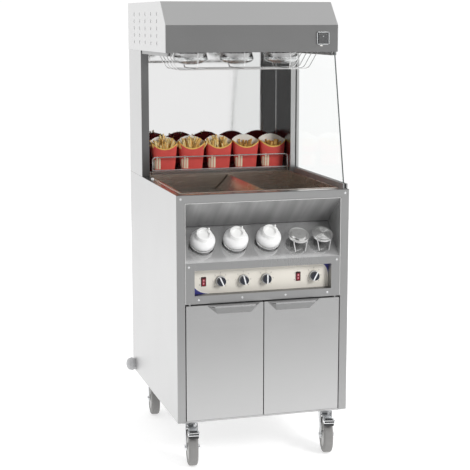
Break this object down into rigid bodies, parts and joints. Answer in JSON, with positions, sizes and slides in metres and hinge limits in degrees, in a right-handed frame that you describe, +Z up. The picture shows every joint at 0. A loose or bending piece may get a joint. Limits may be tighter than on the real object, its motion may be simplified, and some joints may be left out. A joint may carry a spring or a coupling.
{
  "type": "french fry dump station",
  "caption": "Free-standing catering station on casters with a heated fry basin, carton shelf, bottle bay, dial panel, cupboard doors and a heat lamp hood.",
  "frame": {"origin": "on the floor under the middle of the whole object's box", "axes": "+Z up, the control panel and doors face -Y, +X to the right seen from the front"},
  "size_m": [0.664, 0.8028, 1.546],
  "materials": {
    "steel": "brushed",
    "polished_steel": "polished",
    "chrome": "polished",
    "bare_steel": "satin",
    "white_plastic": "satin",
    "panel_film": "matte",
    "black_plastic": "satin",
    "red_plastic": "gloss",
    "grey_plastic": "matte",
    "lamp_glass": "clear",
    "clear_glass": "clear",
    "carton_board": "satin card",
    "grey_rubber": "matte",
    "heating_mat": "matte"
  },
  "bodies": {
    "cabinet": {"side_panel_left": "steel", "side_panel_right": "steel", "rear_cover": "steel", "base_plate": "steel", "front_frame": "steel", "fascia": "steel", "worktop": "steel", "wire_holders": "chrome", "control_plate": "panel_film", "control_gear": "grey_plastic", "basin": "steel", "basin_heater": "heating_mat", "carton_shelf": "steel", "carton_rail": "chrome", "column_left": "steel", "column_right": "steel", "mirror_panel": "polished_steel", "hood_shell": "steel", "hood_sides": "steel", "lamp_panel": "steel", "heat_lamps": "lamp_glass", "lamp_guard": "chrome", "glass_right": "clear_glass", "glass_channels": "bare_steel", "side_bumpers": "grey_rubber", "cable_gland": "black_plastic", "caster_plates": "bare_steel", "screws": "bare_steel", "hood_switch_bezel": "black_plastic"},
    "hood_switch": {"hood_switch": "black_plastic"},
    "rocker_left": {"rocker_left": "red_plastic"},
    "rocker_right": {"rocker_right": "red_plastic"},
    "knob_1": {"knob_1": "black_plastic"},
    "knob_2": {"knob_2": "black_plastic"},
    "knob_3": {"knob_3": "black_plastic"},
    "knob_4": {"knob_4": "black_plastic"},
    "door_left": {"door_left": "steel"},
    "door_right": {"door_right": "steel"},
    "insert": {"insert": "bare_steel"},
    "divider": {"divider": "bare_steel"},
    "bottle_1": {"bottle_1": "white_plastic"},
    "bottle_2": {"bottle_2": "white_plastic"},
    "bottle_3": {"bottle_3": "white_plastic"},
    "shaker_1": {"shaker_1": "chrome"},
    "shaker_2": {"shaker_2": "chrome"},
    "carton_1": {"carton_1": "carton_board"},
    "carton_2": {"carton_2": "carton_board"},
    "carton_3": {"carton_3": "carton_board"},
    "carton_4": {"carton_4": "carton_board"},
    "carton_5": {"carton_5": "carton_board"},
    "fork_front_left": {"caster_fork_front_left": "bare_steel"},
    "fork_front_right": {"caster_fork_front_right": "bare_steel"},
    "fork_rear_left": {"caster_fork_rear_left": "bare_steel"},
    "fork_rear_right": {"caster_fork_rear_right": "bare_steel"},
    "wheel_front_left": {"wheel_front_left": "grey_rubber"},
    "wheel_front_right": {"wheel_front_right": "grey_rubber"},
    "wheel_rear_left": {"wheel_rear_left": "grey_rubber"},
    "wheel_rear_right": {"wheel_rear_right": "grey_rubber"},
    "pedal_front_left": {"brake_pedal_front_left": "black_plastic"},
    "pedal_front_right": {"brake_pedal_front_right": "black_plastic"}
  },
  "joints": [
    {"name": "hood_switch_rock", "type": "hinge", "parent": "cabinet", "child": "hood_switch", "pos_m": [0.2465, -0.21464, 1.424], "axis": [1, 0, 0], "range_deg": [-12, 0]},
    {"name": "rocker_left_rock", "type": "hinge", "parent": "cabinet", "child": "rocker_left", "pos_m": [-0.201, -0.31314, 0.6265], "axis": [1, 0, 0], "range_deg": [-12, 0]},
    {"name": "rocker_right_rock", "type": "hinge", "parent": "cabinet", "child": "rocker_right", "pos_m": [0.131, -0.31314, 0.6265], "axis": [1, 0, 0], "range_deg": [-12, 0]},
    {"name": "knob_1_turn", "type": "hinge", "parent": "cabinet", "child": "knob_1", "pos_m": [-0.143, -0.33064, 0.6265], "axis": [0, -1, 0], "range_deg": [-159, 111]},
    {"name": "knob_2_turn", "type": "hinge", "parent": "cabinet", "child": "knob_2", "pos_m": [-0.0635, -0.33064, 0.6265], "axis": [0, -1, 0], "range_deg": [-149, 121]},
    {"name": "knob_3_turn", "type": "hinge", "parent": "cabinet", "child": "knob_3", "pos_m": [0.016, -0.33064, 0.6265], "axis": [0, -1, 0], "range_deg": [-135, 135]},
    {"name": "knob_4_turn", "type": "hinge", "parent": "cabinet", "child": "knob_4", "pos_m": [0.187, -0.33064, 0.6265], "axis": [0, -1, 0], "range_deg": [-107, 163]},
    {"name": "door_left_swing", "type": "hinge", "parent": "cabinet", "child": "door_left", "pos_m": [-0.255, -0.34264, 0.35], "axis": [0, 0, -1], "range_deg": [0, 110]},
    {"name": "door_right_swing", "type": "hinge", "parent": "cabinet", "child": "door_right", "pos_m": [0.255, -0.34264, 0.35], "axis": [0, 0, 1], "range_deg": [0, 110]},
    {"name": "insert_lift", "type": "slide", "parent": "cabinet", "child": "insert", "axis": [0, 0, 1], "range_m": [0, 0.2]},
    {"name": "divider_lift", "type": "slide", "parent": "insert", "child": "divider", "axis": [0, 0, 1], "range_m": [0, 0.14]},
    {"name": "bottle_1_lift", "type": "slide", "parent": "cabinet", "child": "bottle_1", "axis": [0, -0.6576, 0.7534], "range_m": [0, 0.13]},
    {"name": "bottle_2_lift", "type": "slide", "parent": "cabinet", "child": "bottle_2", "axis": [0, -0.6576, 0.7534], "range_m": [0, 0.13]},
    {"name": "bottle_3_lift", "type": "slide", "parent": "cabinet", "child": "bottle_3", "axis": [0, -0.6576, 0.7534], "range_m": [0, 0.13]},
    {"name": "shaker_1_lift", "type": "slide", "parent": "cabinet", "child": "shaker_1", "axis": [0, -0.5446, 0.8387], "range_m": [0, 0.06]},
    {"name": "shaker_2_lift", "type": "slide", "parent": "cabinet", "child": "shaker_2", "axis": [0, -0.5446, 0.8387], "range_m": [0, 0.06]},
    {"name": "carton_1_lift", "type": "slide", "parent": "cabinet", "child": "carton_1", "axis": [0, 0, 1], "range_m": [0, 0.15]},
    {"name": "carton_2_lift", "type": "slide", "parent": "cabinet", "child": "carton_2", "axis": [0, 0, 1], "range_m": [0, 0.15]},
    {"name": "carton_3_lift", "type": "slide", "parent": "cabinet", "child": "carton_3", "axis": [0, 0, 1], "range_m": [0, 0.15]},
    {"name": "carton_4_lift", "type": "slide", "parent": "cabinet", "child": "carton_4", "axis": [0, 0, 1], "range_m": [0, 0.15]},
    {"name": "carton_5_lift", "type": "slide", "parent": "cabinet", "child": "carton_5", "axis": [0, 0, 1], "range_m": [0, 0.15]},
    {"name": "swivel_front_left", "type": "hinge", "parent": "cabinet", "child": "fork_front_left", "pos_m": [-0.242, -0.29564, 0.14], "axis": [0, 0, 1], "continuous": true},
    {"name": "swivel_front_right", "type": "hinge", "parent": "cabinet", "child": "fork_front_right", "pos_m": [0.242, -0.29564, 0.14], "axis": [0, 0, 1], "continuous": true},
    {"name": "swivel_rear_left", "type": "hinge", "parent": "cabinet", "child": "fork_rear_left", "pos_m": [-0.242, 0.29436, 0.14], "axis": [0, 0, 1], "continuous": true},
    {"name": "swivel_rear_right", "type": "hinge", "parent": "cabinet", "child": "fork_rear_right", "pos_m": [0.242, 0.29436, 0.14], "axis": [0, 0, 1], "continuous": true},
    {"name": "roll_front_left", "type": "hinge", "parent": "fork_front_left", "child": "wheel_front_left", "pos_m": [-0.24729, -0.33327, 0.0625], "axis": [0.9903, -0.1392, 0], "continuous": true},
    {"name": "roll_front_right", "type": "hinge", "parent": "fork_front_right", "child": "wheel_front_right", "pos_m": [0.23475, -0.33294, 0.0625], "axis": [0.9816, -0.1908, 0], "continuous": true},
    {"name": "roll_rear_left", "type": "hinge", "parent": "fork_rear_left", "child": "wheel_rear_left", "pos_m": [-0.24597, 0.25656, 0.0625], "axis": [0.9945, -0.1045, 0], "continuous": true},
    {"name": "roll_rear_right", "type": "hinge", "parent": "fork_rear_right", "child": "wheel_rear_right", "pos_m": [0.25119, 0.25749, 0.0625], "axis": [0.9703, 0.2419, 0], "continuous": true},
    {"name": "pedal_front_left_press", "type": "hinge", "parent": "fork_front_left", "child": "pedal_front_left", "pos_m": [-0.2443, -0.31198, 0.1275], "axis": [0.9903, -0.1392, 0], "range_deg": [0, 5]},
    {"name": "pedal_front_right_press", "type": "hinge", "parent": "fork_front_right", "child": "pedal_front_right", "pos_m": [0.23885, -0.31184, 0.1275], "axis": [0.9816, -0.1908, 0], "range_deg": [0, 5]}
  ]
}
